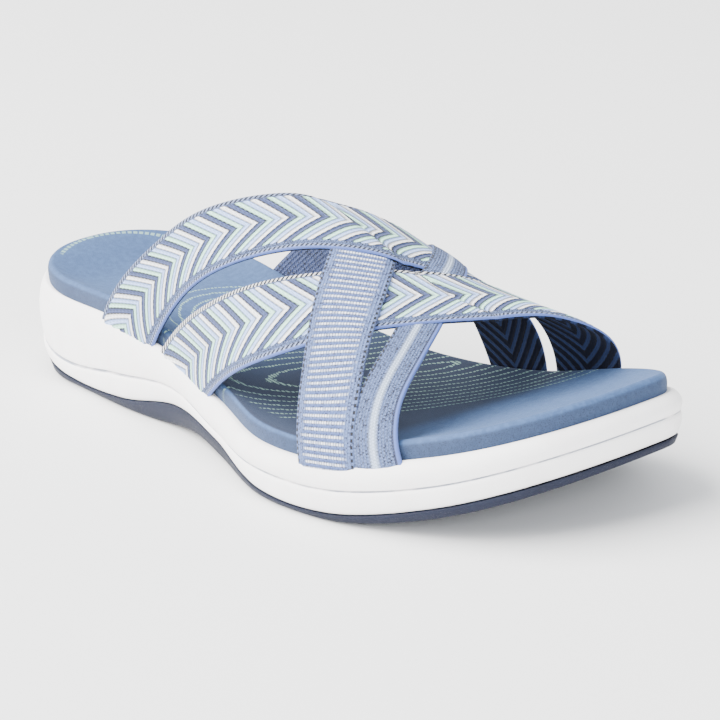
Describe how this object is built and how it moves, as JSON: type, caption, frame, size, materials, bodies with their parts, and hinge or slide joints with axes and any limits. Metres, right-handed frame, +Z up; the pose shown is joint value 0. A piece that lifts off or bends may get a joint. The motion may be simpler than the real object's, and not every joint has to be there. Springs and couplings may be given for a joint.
{
  "type": "orthopedic sandal",
  "caption": "Right-foot slide sandal with a platform sole, cushioned footbed and an open upper of interlaced webbing straps.",
  "frame": {"origin": "centre of the bounding box in plan, on the floor that the sole stands on", "axes": "+X to the toe, +Y to the medial side, +Z up"},
  "size_m": [0.2688, 0.1014, 0.082],
  "materials": {
    "outsole_rubber": "matt slate blue rubber with a moulded tread",
    "midsole_foam": "matt white moulded foam",
    "footbed_suede": "soft steel blue napped textile",
    "strap_webbing": "woven elastic webbing in blue, white and pale mint"
  },
  "bodies": {
    "root": {"outsole": "outsole_rubber", "midsole": "midsole_foam", "footbed": "footbed_suede", "upper": "strap_webbing"}
  },
  "joints": []
}
